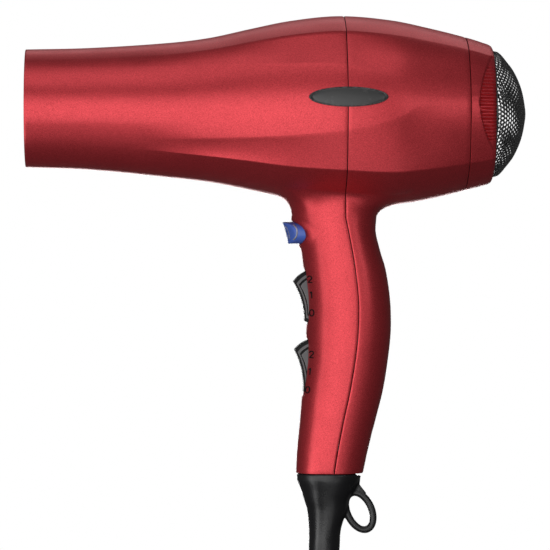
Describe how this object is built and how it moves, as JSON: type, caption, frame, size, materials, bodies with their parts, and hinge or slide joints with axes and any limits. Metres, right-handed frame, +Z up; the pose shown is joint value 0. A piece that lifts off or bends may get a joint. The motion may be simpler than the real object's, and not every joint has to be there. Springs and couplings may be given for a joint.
{
  "type": "hair dryer",
  "caption": "Hand-held hair dryer: round barrel with tapered nozzle, domed twist-off intake, curved handle with rocker switches, cool-shot button, hang loop and tied cord with plug.",
  "frame": {"origin": "centre of the hand grip, on the plane that halves the dryer", "axes": "+X along the barrel towards the air intake, the nozzle blows towards -X; +Z up the handle towards the barrel; +Y to the dryer's right-hand side"},
  "size_m": [0.2152, 0.081, 0.4382],
  "materials": {
    "red_shell": "metallic red lacquer",
    "black_plastic": "fine moulded texture",
    "grey_rocker": "satin",
    "blue_button": "satin",
    "white_plastic": "satin",
    "badge": "satin grey foil",
    "black_rubber": "satin",
    "cord_jacket": "satin",
    "filter_mesh": "woven nylon gauze",
    "mica": "pressed mica sheet",
    "resistance_wire": "drawn alloy wire",
    "steel": "plated",
    "brass": "bare",
    "copper": "enamelled copper",
    "board": "coated laminate",
    "heat_grey": "glass-filled moulding"
  },
  "bodies": {
    "shell": {"front_housing": "red_shell", "rear_housing": "red_shell", "badge_left": "badge", "badge_right": "badge", "shell_screw_upper": "steel", "shell_screw_lower": "steel", "outlet_grille": "heat_grey", "mica_tube": "mica", "mica_board_upright": "mica", "mica_board_level": "mica", "heating_coil_front": "resistance_wire", "heating_coil_rear": "resistance_wire", "thermostat": "brass", "thermal_fuse": "steel", "motor_mount": "heat_grey", "fan_shroud": "heat_grey", "motor_can": "steel", "motor_end_cap": "black_plastic", "bearing_front": "brass", "bearing_rear": "brass", "rectifier_board": "board", "heat_switch_body": "black_plastic", "speed_switch_body": "black_plastic", "cool_shot_switch": "black_plastic", "cool_shot_spring": "steel", "heater_lead": "cord_jacket", "motor_lead": "cord_jacket", "supply_lead_live": "cord_jacket", "supply_lead_neutral": "cord_jacket", "cord_clamp": "steel", "cord_boot": "black_rubber", "power_cord": "cord_jacket", "cord_hank": "cord_jacket", "cord_tie": "cord_jacket", "cord_tail": "cord_jacket", "plug_relief": "black_rubber", "plug_body": "black_plastic", "plug_blade_left": "brass", "plug_blade_right": "brass"},
    "fan": {"impeller": "black_plastic", "motor_shaft": "steel", "armature": "copper", "commutator": "copper"},
    "filter_carrier": {"filter_frame": "black_plastic", "lint_filter": "filter_mesh"},
    "intake_cap": {"intake_ring": "red_shell", "intake_grille": "black_plastic"},
    "heat_rocker": {"heat_rocker": "grey_rocker"},
    "speed_rocker": {"speed_rocker": "grey_rocker"},
    "cool_shot_button": {"cool_shot_button": "blue_button"},
    "plug_test_button": {"plug_test_button": "white_plastic"},
    "plug_reset_button": {"plug_reset_button": "blue_button"}
  },
  "joints": [
    {"name": "fan_spin", "type": "hinge", "parent": "shell", "child": "fan", "pos_m": [0, 0, 0.0962], "axis": [1, 0, 0], "continuous": true},
    {"name": "intake_pull", "type": "slide", "parent": "shell", "child": "filter_carrier", "axis": [1, 0, 0], "range_m": [0, 0.035]},
    {"name": "intake_twist", "type": "hinge", "parent": "filter_carrier", "child": "intake_cap", "pos_m": [0.055, 0, 0.0952], "axis": [1, 0, 0], "range_deg": [0, 20]},
    {"name": "heat_rocker_tilt", "type": "hinge", "parent": "shell", "child": "heat_rocker", "pos_m": [-0.01363, 0, 0.01664], "axis": [0, 1, 0], "range_deg": [0, 26]},
    {"name": "speed_rocker_tilt", "type": "hinge", "parent": "shell", "child": "speed_rocker", "pos_m": [-0.01352, 0, -0.01361], "axis": [0, 1, 0], "range_deg": [0, 23]},
    {"name": "cool_shot_press", "type": "slide", "parent": "shell", "child": "cool_shot_button", "axis": [1, 0, 0], "range_m": [0, 0.0025], "stiffness_N_per_m": 500, "springref_m": -0.002, "deforming": ["cool_shot_spring"]},
    {"name": "plug_test_press", "type": "slide", "parent": "shell", "child": "plug_test_button", "axis": [0, 1, 0], "range_m": [0, 0.001], "stiffness_N_per_m": 800, "springref_m": -0.001},
    {"name": "plug_reset_press", "type": "slide", "parent": "shell", "child": "plug_reset_button", "axis": [0, 1, 0], "range_m": [0, 0.001], "stiffness_N_per_m": 800, "springref_m": -0.001}
  ]
}
